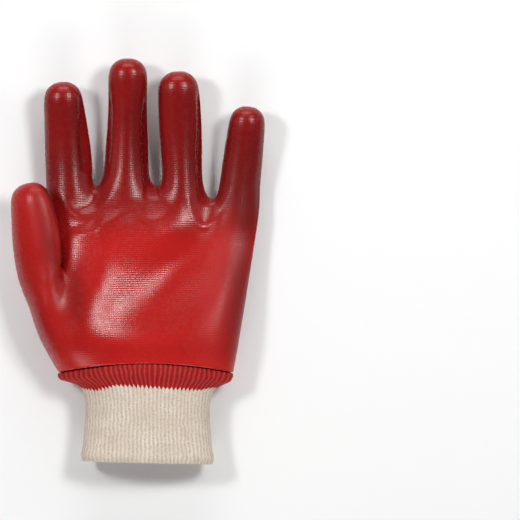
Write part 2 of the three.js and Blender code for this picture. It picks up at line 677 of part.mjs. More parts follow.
// One ring of the ribbed wrist: outer points alternate crest and valley, and there is an inner point a rib.
// lift moves the ring along +Y, and tooth moves the crests and valleys apart.
function addSleeveRing(surface, at, lift, tooth) {
  const size = sleeveSize(at);
  const arch = 1 - smoothstep(at, 0, ARCH_END);
  const slant = lerp(DIP_SLANT, MOUTH_SLANT, at) * smoothstep(at, 0, ARCH_END);
  const place = (point, inwards, zigzag) => {
    const across = point.at.x / size.halfWidth;
    const { x, y: z } = point.at.clone().addScaledVector(point.out, -inwards);
    const y = -at * SLEEVE_LENGTH + seamHeight(across) * arch - slant * across + lift + zigzag;
    return surface.add(size.x + x, y, settle(size.z + z));
  };
  const points = ovalPoints(size.halfWidth, size.halfDepth, 2 * RIB_COUNT);
  return {
    outer: points.map((p, i) => place(p, i % 2 ? RIB_HEIGHT : 0, i % 2 ? -tooth : tooth)),
    inner: points.filter((_, i) => i % 2 === 0).map((p) => place(p, KNIT_WALL, 0)),
  };
}

// A piece of the ribbed wrist from its lowest ring to its highest, open at both ends.
function ribbedPiece(rows) {
  const surface = new Surface();
  const rings = rows.map(({ at, lift = 0, tooth = 0 }) => addSleeveRing(surface, at, lift, tooth));
  rings.slice(1).forEach((next, k) => {
    surface.join(rings[k].outer, next.outer);
    surface.join(next.inner, rings[k].inner);
  });
  const ends = [rings[0], rings.at(-1)];
  for (let i = 0; i < RIB_COUNT; i++) {
    const [low, high] = ends.map(({ outer, inner }) => {
      const [crest, valley, next] = [outer[2 * i], outer[2 * i + 1], outer[(2 * i + 2) % outer.length]];
      const [p, q] = [inner[i], inner[(i + 1) % RIB_COUNT]];
      return [[crest, valley, p], [valley, q, p], [valley, next, q]];
    });
    surface.faces.push(...high, ...low.map((face) => face.reverse()));
  }
  return surface;
}

const DIP_AT = DIP_LENGTH / SLEEVE_LENGTH;

// The part of the ribbed wrist that took the coating, from the jagged dip line up into the hand.
function coatedRibBand() {
  return ribbedPiece([
    { at: DIP_AT, lift: PIECE_CLEARANCE / 2, tooth: DIP_TOOTH },
    ...BAND_RINGS.map((at) => ({ at })).reverse(),
    { at: 0, lift: SEAM_OVERLAP },
  ]);
}

// The bare knitted cuff, from its mouth up to the dip line.
function knitCuff() {
  return ribbedPiece([
    ...CUFF_RINGS.map((at) => ({ at })).reverse(),
    { at: DIP_AT, lift: -PIECE_CLEARANCE / 2, tooth: DIP_TOOTH },
  ]);
}

function piece(name, surface, colour, roughness) {
  const material = new THREE.MeshStandardMaterial({ color: colour, roughness, metalness: 0 });
  const mesh = new THREE.Mesh(surface.geometry(), material);
  mesh.name = name;
  return mesh;
}

const glove = new THREE.Group();
glove.add(
  piece('coated_hand', coatedHand(), RED_PVC, ROUGHNESS.hand),
  piece('coated_rib_band', coatedRibBand(), RED_PVC, ROUGHNESS.band),
  piece('knit_cuff', knitCuff(), CREAM_COTTON, ROUGHNESS.knit),
);

// The origin is the bottom centre of the whole glove.
const box = new THREE.Box3().setFromObject(glove, true);
const centre = box.getCenter(new THREE.Vector3());
glove.position.set(-centre.x, -centre.y, -box.min.z);

export default glove;
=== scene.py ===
"""A PVC coated work glove with a knitted wrist, for the left hand, lying palm up on a pale table.

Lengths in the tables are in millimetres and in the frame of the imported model: +X from the thumb's side to
the little finger, +Y from the wrist to the fingertips, +Z out of the palm. Blender works in metres.
"""

import math

import bmesh
import bpy
import numpy as np
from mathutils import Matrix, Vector


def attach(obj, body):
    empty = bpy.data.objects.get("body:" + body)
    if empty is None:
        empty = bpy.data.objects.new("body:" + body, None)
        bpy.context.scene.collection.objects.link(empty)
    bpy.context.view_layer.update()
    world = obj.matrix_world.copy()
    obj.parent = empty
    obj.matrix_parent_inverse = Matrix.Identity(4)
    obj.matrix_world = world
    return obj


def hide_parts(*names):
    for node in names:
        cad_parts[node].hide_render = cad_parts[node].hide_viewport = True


MM = 0.001

# Coated hand
WELD = 0.001  # points of the imported solid closer than this are one point
SQUARE_UP = math.radians(60)  # pairs of triangles that bend or skew less than this become one face
HAND_LEVELS = 2  # levels of subdivision over the whole hand
RIM_TOP = -65.0  # the open rim at the wrist lies below this
RIM_TILT = -0.7  # faces of the rim face the wrist at least this much
RIM_CREASE = 0.75
FRONT_TILT = -0.05  # faces turned up more than this get one more level
SMOOTH_ROUNDS = 3
SMOOTH_SHARE = 0.5
STILL_RIM = (-2, 8)  # from RIM_TOP plus this, where no point is smoothed, to where each is in full
PALM_TILT = (0.05, 0.5)  # upward share of a normal where the relief below sets in, and where it is full

# The thumb lies outside this line, and its own look sets in over the soft width and over the root
THUMB_EDGE = {"y": [-30, 0, 15, 40, 55], "x": [-60, -49.5, -51.5, -56, -66]}
THUMB_SOFT = 3
THUMB_ROOT = (-40, -10)

# Folds of the coating on the palm side, each an arc through three points, with the radius and the height of
# its section. A negative height is a valley.
FOLDS = [
    {"name": "index web ridge", "start": (-47, 39), "middle": (-35, 29.5), "end": (-17, 44),
     "width": 3.0, "height": 0.9},
    {"name": "index web valley", "start": (-38, 38), "middle": (-31, 36), "end": (-24, 43),
     "width": 4.2, "height": -0.8},
    {"name": "middle web ridge", "start": (-2, 37), "middle": (7.5, 26), "end": (19, 31),
     "width": 3.0, "height": 0.5},
    {"name": "ring web ridge", "start": (33, 40), "middle": (43.5, 22), "end": (58, 43),
     "width": 2.6, "height": 0.8},
    {"name": "thumb fold", "start": (-51, 11), "middle": (-25, 23), "end": (-1, 34),
     "width": 5.0, "height": 0.9},
    {"name": "thumb fold valley", "start": (-48, 23), "middle": (-33, 23), "end": (-15, 32),
     "width": 3.4, "height": -0.7},
]
FOLD_POINTS = 41  # points along each arc
FOLD_END = 0.05  # the fade starts this far along, so a fold keeps a little height at its ends
FOLD_FADE_POWER = 0.6

# Broad swellings and hollows: middle, direction in degrees from +X, radii along and across it, and height.
SWELLINGS = [
    {"name": "palm cup", "at": (33, -2), "turn": 40, "long": 58, "wide": 22, "height": -7.0},
    {"name": "thumb flank", "at": (-37, -18), "turn": 80, "long": 26, "wide": 9, "height": -1.5},
    {"name": "palm middle", "at": (3, -20), "turn": 55, "long": 26, "wide": 16, "height": 2.0},
    {"name": "heel", "at": (-14, -50), "turn": 5, "long": 26, "wide": 13, "height": 2.2},
    {"name": "finger pads", "at": (8, 16), "turn": 12, "long": 50, "wide": 12, "height": 1.5},
    {"name": "outer edge", "at": (57, -14), "turn": 84, "long": 50, "wide": 9, "height": 1.6},
]

# The front of a finger is narrower than the finger: past these lines the coating drops to a flat wing.
GROOVES = [
    {"name": "index, inner", "side": 1, "y": [60, 78, 90, 107], "x": [-37, -39, -39, -38.6],
     "depth": 3.2, "soft": 0.9, "reach": 11, "fade": 5},
    {"name": "middle, outer", "side": -1, "y": [62, 74, 95, 108], "x": [-18.6, -17.4, -16.8, -17.8],
     "depth": 2.6, "soft": 0.8, "reach": 8, "fade": 6},
    {"name": "middle, inner", "side": 1, "y": [44, 59, 75, 91, 105], "x": [4.2, 3.2, 2.4, 2.4, 3.9],
     "depth": 3.4, "soft": 0.9, "reach": 9, "fade": 5},
    {"name": "ring, inner", "side": 1, "y": [40, 54, 69, 90, 108], "x": [39.4, 38.2, 37.6, 38.7, 38.4],
     "depth": 3.2, "soft": 0.9, "reach": 8, "fade": 5},
]

# Knitted wrist, as in the solids
AXIS_X = 6.194  # axis of the wrist in the frame
SEAM_Y = -66.705  # the wrist seam in the middle of the palm
SEAM_WIDTH = 115.0
SEAM_DEPTH = 38.0
SEAM_SHIFT = -1.3
SEAM_ARCH = 6.2
SLEEVE_LENGTH = 63.7
CUFF_WIDTH = 81.0
CUFF_DEPTH = 35.0
MOUTH_WIDTH = 86.5
MOUTH_DEPTH = 38.0
MOUTH_SLANT = 1.0
DIP_LENGTH = 15.5
DIP_SLANT = 1.5
SEAT = 5.0  # the band is this much narrower and less deep than the hand's rim
FLATTENING = 0.5
KNIT_WALL = 2.0
RIB_HEIGHT = {"rib_band": 0.6, "knit_wrist": 0.2}  # the ribs are softer here than in the solids
RIB_COUNT = 76
SEAM_OVERLAP = 3.0
ARCH_END = 0.3
SECTION_POWER = 2.3
SLEEVE_SECTIONS = [
    {"at": 0, "flare": 1, "spread": 0},
    {"at": 0.06, "flare": 0.97, "spread": 0},
    {"at": 0.12, "flare": 0.84, "spread": 0},
    {"at": 0.18, "flare": 0.58, "spread": 0},
    {"at": 0.26, "flare": 0.18, "spread": 0},
    {"at": 0.4, "flare": 0, "spread": 0},
    {"at": 0.65, "flare": 0, "spread": 0.12},
    {"at": 0.85, "flare": 0, "spread": 0.55},
    {"at": 0.96, "flare": 0, "spread": 1},
    {"at": 1, "flare": 0, "spread": 0.7},
]
COLUMNS_PER_RIB = 8
BAND_ROWS = 44
CUFF_ROWS = 130
INNER_ROWS = 12
LIP_ROWS = 6
STITCH = 1.3  # height of one stitch
STITCH_RELIEF = 0.1
STITCH_LEAN = 0.55  # a stitch lies this share of a stitch lower at the rib's edge than on its crest
STITCH_SHIFT = 0.37  # from rib to rib, as a share of a stitch
STITCH_POWER = 0.5
CREST_POWER = 0.8
RIB_DRIFT = {"most": 0.22, "rows": 12, "ribs": 2}  # how far ribs wander, and over how many rows and ribs
RIB_UNEVEN = {"most": 0.35, "rows": 4}
RIB_PROUD = 0.15  # no stitch stands further out than this
RIB_DEEPER = 0.1  # nor lies deeper than its rib's height and this
# the inner side keeps this share of its last row's crest value, so the cuff's inside takes less of the
# painted light of the crests
INNER_CREST = 0.5
BAND_PALE_POWER = 2  # how narrow the pale crests of the band are
TOOTH = 1.1  # the bare ribs run this far up into the coating, and the coating down between them
TOOTH_CHANCE = 0.7  # how much the teeth differ
# The band swells out below the seam: by how much, and between which shares of the length
PUFF = {"most": 2.1, "start": -0.004, "full": 0.014, "from": 0.1, "to": 0.2}
# How far the dip line departs from the solids' along the palm side, by place across the wrist
DIP_LINE = {
    "across": [-1, -0.85, -0.7, -0.5, -0.2, 0.5, 0.85, 1],
    "lower": [2.6, 3.2, 1.5, -0.9, -0.6, 0.4, 0.6, -1.5],
}

# Colours in linear light, and the coating's surface in millimetres
DARK_RED = (0.15, 0.004, 0.004, 1)
PALE_RED = (0.46, 0.011, 0.009, 1)
BAND_RED = (0.27, 0.008, 0.008, 1)
BAND_PALE = (0.52, 0.03, 0.026, 1)
HAND_GLOSS = 0.32
BAND_GLOSS = 0.15
HAND_ROUGHNESS = 0.25
BAND_ROUGHNESS = 0.5
KNIT_PRINT = {"row": 1.45, "wale": 1.2, "wale_share": 0.4, "wobble": 6.0, "wobble_size": 6.0, "depth": 0.017}
LUMPS = {"size": 14.0, "detail": 1.0, "depth": 0.12}
GRAIN = {"size": 3.0, "smoother": -0.03, "rougher": 0.05}
RED_PATCHES = {"size": 30.0, "most": 0.06}
NOISE_LOW = 0.3  # nearly all of a noise lies between these two
NOISE_HIGH = 0.7
LINING = {"row": 1.4, "wale": 1.2, "depth": 0.12, "deep": (0.5, 0.42, 0.33, 1), "pale": (0.68, 0.6, 0.5, 1)}
KNIT_PALE = [(0.67, 0.57, 0.47, 1), (0.76, 0.66, 0.56, 1)]
KNIT_DEEP = [(0.44, 0.36, 0.29, 1), (0.56, 0.47, 0.39, 1)]
KNIT_PATCHES = {"size": 12.0, "low": 0.35, "high": 0.65}
# crest: how far a rib's crest moves the knit's colour towards the pale one, painted light on the crests and
# painted shade between them
KNIT_FLECKS = {"size": 1.1, "detail": 3.0, "crest": 0.4, "low": 0.42, "high": 0.9}
KNIT_FUZZ = {"size": 0.9, "detail": 3.0, "depth": 0.4}
COTTON_ROUGHNESS = 0.95
COTTON_GLOSS = 0.2
FLOOR_COLOURS = [(0.86, 0.86, 0.86, 1), (0.88, 0.88, 0.88, 1)]
FLOOR_PATCHES = 400.0
FLOOR_ROUGHNESS = 0.9

# How pale the coating's red is over the hand, by place along it: on the palm and fingers, and on the thumb.
# This is partly the coating's own colour and partly painted shade and painted light, which makes the fingers
# darker than the palm.
RED_AND_SHADE_ALONG = {
    "y": [-72, -66, -58, -30, 10, 26, 40, 56, 131],
    "palm": [1.1, 1, 0.74, 0.8, 0.9, 0.55, 0.22, 0.12, 0.14],
}
THUMB_RED_AND_SHADE = 0.8
PALEST = 1.2
# Darker and paler places, painted shade and painted light: the darker ones stand for shade, as in the crease
# by the thumb and on the sides turned from the lamps, and the paler ones for light, as on the fingertips and
# the fingers' outer sides. Columns: middle, direction in degrees from +X, radii along and across it, and
# change
PAINTED_LIGHT_AND_SHADE = [
    {"name": "crease by the thumb", "at": (-41, -18), "turn": 97, "long": 34, "wide": 8, "change": -0.5},
    {"name": "thumb, inner side", "at": (-57, 12), "turn": 100, "long": 36, "wide": 6, "change": -0.5},
    {"name": "thumb ball, outer side", "at": (-66, -30), "turn": 110, "long": 40, "wide": 6, "change": -0.3},
    {"name": "palm's outer side", "at": (68, -8), "turn": 84, "long": 62, "wide": 10, "change": -0.7},
    {"name": "palm, upper middle", "at": (0, 12), "turn": 5, "long": 34, "wide": 10, "change": 0.15},
    {"name": "low middle", "at": (4, -52), "turn": 0, "long": 40, "wide": 8, "change": 0.2},
    {"name": "index, tip", "at": (-49, 114), "turn": 0, "long": 11, "wide": 7, "change": 0.35},
    {"name": "middle, tip", "at": (-7, 128), "turn": 0, "long": 12, "wide": 7, "change": 0.35},
    {"name": "ring, tip", "at": (25, 120), "turn": 0, "long": 11, "wide": 7, "change": 0.35},
    {"name": "little, tip", "at": (70, 98), "turn": 0, "long": 9, "wide": 7, "change": 0.3},
    {"name": "index, outer side", "at": (-59, 78), "turn": 90, "long": 36, "wide": 5, "change": 0.15},
    {"name": "middle, outer side", "at": (-14, 82), "turn": 90, "long": 40, "wide": 5, "change": 0.2},
    {"name": "ring, outer side", "at": (18, 80), "turn": 90, "long": 36, "wide": 5, "change": 0.15},
    {"name": "index, inner side", "at": (-41, 78), "turn": 90, "long": 30, "wide": 5, "change": -0.15},
    {"name": "middle, inner side", "at": (0, 84), "turn": 90, "long": 34, "wide": 5, "change": -0.15},
    {"name": "ring, inner side", "at": (34, 80), "turn": 90, "long": 34, "wide": 5, "change": -0.15},
]

# Less glossy places, and the roughness added there
MATT = [
    {"name": "palm's outer side", "at": (58, -10), "turn": 84, "long": 62, "wide": 15},
    {"name": "thumb, inner side", "at": (-59, 12), "turn": 100, "long": 44, "wide": 7},
]
MATT_ROUGHNESS = 0.22

# Camera: straight above, with the photograph's frame
VIEW_WIDTH = 338.0  # width of the frame at the height of the glove
VIEW_MIDDLE = (79.3, 0.3)
VIEW_LEVEL = 17.0
CAMERA_HEIGHT = 5000.0
SENSOR = 36.0
VIEW_END = 100  # in metres

# Table and light: aim is the way from the glove to each lamp, distance and size are in metres
FLOOR_REACH = 20.0  # from its middle to its edge, in metres
LIGHTS = [
    {"name": "key left", "aim": (-0.62, 0.3, 1.0), "distance": 1.3, "size": (0.22, 0.22), "watts": 6.2},
    {"name": "key right", "aim": (0.54, 0.34, 1.0), "distance": 1.3, "size": (0.3, 0.3), "watts": 7.8},
    {"name": "side left", "aim": (-1.0, 0.2, 0.4), "distance": 1.6, "size": (0.12, 0.7), "watts": 0.5},
    {"name": "side right", "aim": (1.0, 0.3, 0.35), "distance": 1.6, "size": (0.15, 1.2), "watts": 1.0},
    {"name": "front", "aim": (0.0, -1.0, 0.6), "distance": 1.6, "size": (1.2, 0.6), "watts": 9.5},
    {"name": "back", "aim": (0.0, 1.0, 0.5), "distance": 1.6, "size": (1.2, 0.6), "watts": 9},
]
HORIZON_LIGHT = 0.25
ZENITH_LIGHT = 0.05

RANDOM_SEED = 7


# Small helpers


def lerp(a, b, share):
    return a + (b - a) * share


def smoothstep(value, low, high):
    t = np.clip((value - low) / (high - low), 0, 1)
    return t * t * (3 - 2 * t)


def between(rows, at, column):
    """One column of a table at places between its rows, on a smooth curve through them."""
    places = np.array([row["at"] for row in rows], float)
    values = np.array([row[column] for row in rows], float)
    last = len(rows) - 1
    k = np.clip(np.searchsorted(places, at), 1, last)
    span = places[k] - places[k - 1]
    t = np.clip((at - places[k - 1]) / span, 0, 1)
    before = np.maximum(np.arange(last + 1) - 1, 0)
    after = np.minimum(np.arange(last + 1) + 1, last)
    slopes = (values[after] - values[before]) / (places[after] - places[before])
    a, b = values[k - 1], values[k]
    da, db = span * slopes[k - 1], span * slopes[k]
    t2, t3 = t**2, t**3
    return a * (2 * t3 - 3 * t2 + 1) + da * (t3 - 2 * t2 + t) + b * (3 * t2 - 2 * t3) + db * (t3 - t2)


def linked(name, mesh):
    thing = bpy.data.objects.new(name, mesh)
    bpy.context.scene.collection.objects.link(thing)
    return thing


def points_of(mesh):
    """The mesh's points in millimetres."""
    flat = np.empty(len(mesh.vertices) * 3)
    mesh.vertices.foreach_get("co", flat)
    return flat.reshape(-1, 3) / MM


def set_points(mesh, points):
    mesh.vertices.foreach_set("co", (points * MM).ravel())
    mesh.update()


def normals_of(mesh):
    flat = np.empty(len(mesh.vertices) * 3, np.float32)
    mesh.vertex_normals.foreach_get("vector", flat)
    return flat.reshape(-1, 3).astype(float)


def add_attribute(mesh, name, values):
    attribute = mesh.attributes.new(name, "FLOAT", "POINT")
    attribute.data.foreach_set("value", np.asarray(values, np.float32))


def smooth_shading(mesh):
    mesh.polygons.foreach_set("use_smooth", np.ones(len(mesh.polygons), bool))


# Coated hand


def outer_faces(bm):
    """The faces of the outer skin: those that are joined to the fingertips without crossing the open rim."""
    rim = {
        face
        for face in bm.faces
        if face.normal.y < RIM_TILT and max(v.co.y for v in face.verts) < RIM_TOP * MM
    }
    start = max(bm.verts, key=lambda v: v.co.y).link_faces[0]
    outer = {start}
    waiting = [start]
    while waiting:
        face = waiting.pop()
        for edge in face.edges:
            for other in edge.link_faces:
                if other not in outer and other not in rim:
                    outer.add(other)
                    waiting.append(other)
    return outer, rim


def subdivided(mesh, levels):
    """The mesh after so many levels of subdivision."""
    holder = linked("holder", mesh)
    modifier = holder.modifiers.new("levels", "SUBSURF")
    modifier.levels = levels
    modifier.boundary_smooth = "PRESERVE_CORNERS"
    graph = bpy.context.evaluated_depsgraph_get()
    made = bpy.data.meshes.new_from_object(holder.evaluated_get(graph))
    bpy.data.objects.remove(holder)
    return made


def refined_hand(node):
    """The solid's skin as a smooth fine mesh, with the lining's faces in the second material slot."""
    bm = bmesh.new()
    bm.from_mesh(node.data)
    bmesh.ops.remove_doubles(bm, verts=bm.verts, dist=WELD * MM)
    bmesh.ops.join_triangles(
        bm, faces=bm.faces, angle_face_threshold=SQUARE_UP, angle_shape_threshold=SQUARE_UP
    )
    bm.normal_update()
    outer, rim = outer_faces(bm)
    crease = bm.edges.layers.float.get("crease_edge") or bm.edges.layers.float.new("crease_edge")
    for face in bm.faces:
        face.material_index = 0 if face in outer or face in rim else 1
    for face in rim:
        for edge in face.edges:
            if any(other not in rim for other in edge.link_faces):
                edge[crease] = RIM_CREASE
    triangles = sum(len(face.verts) == 3 for face in bm.faces)
    print(f"hand: {len(bm.faces)} faces, {triangles} triangles, {len(outer)} outer, {len(rim)} rim")
    mesh = bpy.data.meshes.new("hand")
    bm.to_mesh(mesh)
    bm.free()
    mesh = subdivided(mesh, HAND_LEVELS)

    bm = bmesh.new()
    bm.from_mesh(mesh)
    bm.normal_update()
    fine = [f for f in bm.faces if f.material_index == 0 and f.normal.z > FRONT_TILT]
    edges = list({edge for face in fine for edge in face.edges})
    bmesh.ops.subdivide_edges(bm, edges=edges, cuts=1, use_grid_fill=True)
    bm.to_mesh(mesh)
    bm.free()
    return mesh


def edge_ends(mesh):
    flat = np.empty(len(mesh.edges) * 2, np.int32)
    mesh.edges.foreach_get("vertices", flat)
    return flat.reshape(-1, 2)


def smoothed(points, ends, weight, rounds, share):
    """Moves each point towards the mean of its neighbours, by its own weight."""
    count = np.bincount(ends.ravel(), minlength=len(points))[:, None]
    for _ in range(rounds):
        total = np.zeros_like(points)
        np.add.at(total, ends[:, 0], points[ends[:, 1]])
        np.add.at(total, ends[:, 1], points[ends[:, 0]])
        points = points + (total / np.maximum(count, 1) - points) * (share * weight)[:, None]
    return points


def near_arc(points, fold):
    """How close each point is to a fold's arc, from 0 far away to 1 on it, faded out at the ends."""
    start, middle, end = (np.array(fold[key], float) for key in ("start", "middle", "end"))
    control = 2 * middle - (start + end) / 2
    t = np.linspace(0, 1, FOLD_POINTS)[:, None]
    arc = (1 - t) ** 2 * start + 2 * t * (1 - t) * control + t**2 * end
    gaps = np.linalg.norm(points[:, None, :2] - arc[None], axis=2)
    nearest = gaps.argmin(axis=1)
    along = np.clip(t[nearest, 0] * (1 - 2 * FOLD_END) + FOLD_END, 0, 1)
    fade = np.sin(np.pi * along) ** FOLD_FADE_POWER
    return np.exp(-((gaps.min(axis=1) / fold["width"]) ** 2)) * fade


def near_place(points, place):
    """How close each point is to an oval place, from 0 far away to 1 in its middle."""
    turn = math.radians(place["turn"])
    dx = points[:, 0] - place["at"][0]
    dy = points[:, 1] - place["at"][1]
    along = (dx * math.cos(turn) + dy * math.sin(turn)) / place["long"]
    aside = (dy * math.cos(turn) - dx * math.sin(turn)) / place["wide"]
    return np.exp(-(along**2) - aside**2)


def palm_side(mesh, points):
    """How far each point faces out of the palm, from 0 to 1, and whether it lies on the lining."""
    lining = np.zeros(len(points), bool)
    for polygon in mesh.polygons:
        if polygon.material_index == 1:
            lining[list(polygon.vertices)] = True
    upwards = normals_of(mesh)[:, 2]
    return smoothstep(np.where(lining, -upwards, upwards), *PALM_TILT), lining


def beyond_groove(points, groove):
    """How far a point lies past a groove on its side, from 0 before it to 1, faded out at its ends."""
    along = np.array(groove["y"], float)
    line = np.interp(points[:, 1], along, groove["x"])
    past = (points[:, 0] - line) * groove["side"]
    reach = smoothstep(past, -groove["soft"], groove["soft"]) * (past < groove["reach"])
    fade = smoothstep(points[:, 1], along[0] - groove["fade"], along[0] + groove["fade"])
    fade *= 1 - smoothstep(points[:, 1], along[-1] - groove["fade"], along[-1] + groove["fade"])
    return reach * fade


def thumb_share(points):
    """1 on the thumb, 0 on the palm and the fingers."""
    inner_edge = np.interp(points[:, 1], THUMB_EDGE["y"], THUMB_EDGE["x"])
    beside = smoothstep(inner_edge - points[:, 0], 0, THUMB_SOFT)
    return beside * smoothstep(points[:, 1], *THUMB_ROOT)


def build_hand():
    mesh = refined_hand(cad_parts["coated_hand"])
    points = points_of(mesh)
    ends = edge_ends(mesh)
    up, lining = palm_side(mesh, points)
    off_rim = smoothstep(points[:, 1], RIM_TOP + STILL_RIM[0], RIM_TOP + STILL_RIM[1])
    free = np.where(lining, 0.0, 1.0) * off_rim
    points = smoothed(points, ends, free, SMOOTH_ROUNDS, SMOOTH_SHARE)
    on_palm = up * (1 - thumb_share(points))
    height = np.zeros(len(points))
    for swelling in SWELLINGS:
        height += swelling["height"] * near_place(points, swelling)
    for groove in GROOVES:
        height -= groove["depth"] * beyond_groove(points, groove)
    for fold in FOLDS:
        height += fold["height"] * near_arc(points, fold)
    points[:, 2] += height * on_palm
    points[:, 2] = np.maximum(points[:, 2], 0)
    set_points(mesh, points)
    # the mix of the two reds: partly the coating's own colour, partly painted shade and painted light
    along = np.interp(points[:, 1], RED_AND_SHADE_ALONG["y"], RED_AND_SHADE_ALONG["palm"])
    tone = lerp(along, THUMB_RED_AND_SHADE, thumb_share(points))
    # painted shade and painted light: places made darker or paler in the coating's red
    for place in PAINTED_LIGHT_AND_SHADE:
        tone += place["change"] * near_place(points, place)
    # the pale attribute holds the mix of the reds, with its painted shade and painted light
    add_attribute(mesh, "pale", np.clip(tone, 0, PALEST))
    add_attribute(mesh, "matt", sum(near_place(points, place) for place in MATT))
    smooth_shading(mesh)
    mesh.materials.clear()
    mesh.materials.append(pvc_material("hand_pvc", DARK_RED, PALE_RED, HAND_ROUGHNESS, HAND_GLOSS))
    mesh.materials.append(lining_material())
    hand = linked("hand_shell", mesh)
    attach(hand, "root")
    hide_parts("coated_hand")
    print(f"hand: {sum(len(p.vertices) - 2 for p in mesh.polygons)} triangles in the end")


# Knitted wrist


def oval(half_width, half_depth, count):
    """Evenly spaced points round an oval, from its left end over its top, and the way out of each."""
    angle = math.pi * (1 - 2 * np.arange(10 * count + 1) / (10 * count))
    power = 2 / SECTION_POWER
    x = half_width * np.sign(np.cos(angle)) * np.abs(np.cos(angle)) ** power
    z = half_depth * np.sign(np.sin(angle)) * np.abs(np.sin(angle)) ** power
    lengths = np.concatenate([[0], np.cumsum(np.hypot(np.diff(x), np.diff(z)))])
    wanted = lengths[-1] * np.arange(count) / count
    x, z = np.interp(wanted, lengths, x), np.interp(wanted, lengths, z)
    along = np.stack([np.roll(x, -1) - np.roll(x, 1), np.roll(z, -1) - np.roll(z, 1)], axis=1)
    along /= np.linalg.norm(along, axis=1, keepdims=True)
    return np.stack([x, z, -along[:, 1], along[:, 0]], axis=1)


class Sleeve:
    """The smooth form of the wrist: where a point at a share of its length and a column round it lies."""

    STEPS = 49

    def __init__(self, columns):
        self.columns = columns
        places = np.linspace(-SEAM_OVERLAP / SLEEVE_LENGTH, 1, self.STEPS)
        self.places = places
        at = np.maximum(places, 0)
        flare = between(SLEEVE_SECTIONS, at, "flare")
        spread = between(SLEEVE_SECTIONS, at, "spread")
        width = lerp(lerp(CUFF_WIDTH, MOUTH_WIDTH, spread), SEAM_WIDTH - SEAT, flare)
        depth = lerp(lerp(CUFF_DEPTH, MOUTH_DEPTH, spread), SEAM_DEPTH - SEAT, flare)
        level = lerp(depth / 2 - FLATTENING, SEAM_DEPTH / 2 - FLATTENING, flare)
        ovals = [oval(w / 2, d / 2, columns) for w, d in zip(width, depth)]
        self.table = np.stack(ovals)
        self.half_width = width / 2
        self.middle = np.stack([AXIS_X + SEAM_SHIFT * flare, level], axis=1)

    def place(self, at, inwards, lift=0.0):
        """Points for arrays of at and inwards, one value for each column in the last axis."""
        spot = np.interp(at, self.places, np.arange(self.STEPS))
        k = np.clip(spot.astype(int), 0, self.STEPS - 2)
        share = (spot - k)[..., None]
        column = np.broadcast_to(np.arange(self.columns), at.shape)
        row = lerp(self.table[k, column], self.table[k + 1, column], share)
        swell = smoothstep(at, PUFF["start"], PUFF["full"]) * (1 - smoothstep(at, PUFF["from"], PUFF["to"]))
        inwards = inwards - PUFF["most"] * swell
        middle = lerp(self.middle[k], self.middle[k + 1], share)
        half_width = lerp(self.half_width[k], self.half_width[k + 1], share[..., 0])
        across = row[..., 0] / half_width
        x = middle[..., 0] + row[..., 0] - row[..., 2] * inwards
        z = middle[..., 1] + row[..., 1] - row[..., 3] * inwards
        fade = 1 - smoothstep(at, 0, ARCH_END)
        arch = -SEAM_ARCH * np.minimum(1, np.abs(across)) ** 2 * fade
        slant = lerp(DIP_SLANT, MOUTH_SLANT, at) * (1 - fade) * across
        y = SEAM_Y - at * SLEEVE_LENGTH + arch - slant + lift
        return np.stack([x, y, np.maximum(z, 0)], axis=-1)


def from_crest_of(share):
    """How far a place in a rib lies from the rib's crest, from 0 on it to 1 between two ribs."""
    return np.abs(((share + 0.5) % 1) - 0.5) * 2


def dip_offsets(columns, rng):
    """How far below the solids' dip line each column's boundary lies, and the tooth of its rib."""
    middle = SLEEVE.place(np.full(columns, DIP_LENGTH / SLEEVE_LENGTH), np.zeros(columns))
    across = (middle[:, 0] - AXIS_X) / (CUFF_WIDTH / 2)
    front = middle[:, 2] > CUFF_DEPTH / 2
    lower = np.where(front, np.interp(across, DIP_LINE["across"], DIP_LINE["lower"]), 0)
    share = np.arange(columns) % COLUMNS_PER_RIB / COLUMNS_PER_RIB
    tooth = 1 - 2 * from_crest_of(share)
    chance = 1 + TOOTH_CHANCE * (rng.random(RIB_COUNT) - 0.5)
    return lower - TOOTH * tooth * np.repeat(chance, COLUMNS_PER_RIB)


def wandering(rows, columns, rng, step_rows, step_columns):
    """Smooth random values from -1 to 1 over a grid that closes round its columns."""
    coarse_rows = max(2, rows // step_rows + 2)
    coarse_columns = columns // step_columns
    coarse = rng.uniform(-1, 1, (coarse_rows, coarse_columns))
    r = np.linspace(0, coarse_rows - 1.001, rows)  # just short of the last coarse row
    c = np.arange(columns) / step_columns
    r0, c0 = r.astype(int), c.astype(int) % coarse_columns
    fr = smoothstep(r - r0, 0, 1)[:, None]
    fc = smoothstep(c - c.astype(int), 0, 1)[None]
    top = lerp(coarse[np.ix_(r0, c0)], coarse[np.ix_(r0, (c0 + 1) % coarse_columns)], fc)
    low = lerp(coarse[np.ix_(r0 + 1, c0)], coarse[np.ix_(r0 + 1, (c0 + 1) % coarse_columns)], fc)
    return lerp(top, low, fr)


def rib_relief(at, columns, rng, height):
    """How far each point of the knit lies below the crests, and how near to a crest it is."""
    rows = len(at)
    drift_columns = RIB_DRIFT["ribs"] * COLUMNS_PER_RIB
    drift = RIB_DRIFT["most"] * wandering(rows, columns, rng, RIB_DRIFT["rows"], drift_columns)
    place = np.arange(columns)[None] / COLUMNS_PER_RIB + drift
    rib = np.floor(place)
    from_crest = from_crest_of(place % 1)
    crest = 0.5 + 0.5 * np.cos(np.pi * from_crest)
    row = -at * SLEEVE_LENGTH / STITCH
    chevron = np.cos(2 * np.pi * (row + STITCH_LEAN * from_crest + STITCH_SHIFT * rib))
    uneven = 1 + RIB_UNEVEN["most"] * wandering(rows, columns, rng, RIB_UNEVEN["rows"], COLUMNS_PER_RIB)
    stitches = STITCH_RELIEF * chevron * crest**STITCH_POWER
    sunk = height * (1 - crest**CREST_POWER * uneven) - stitches
    return np.clip(sunk, -RIB_PROUD, height + RIB_DEEPER), crest


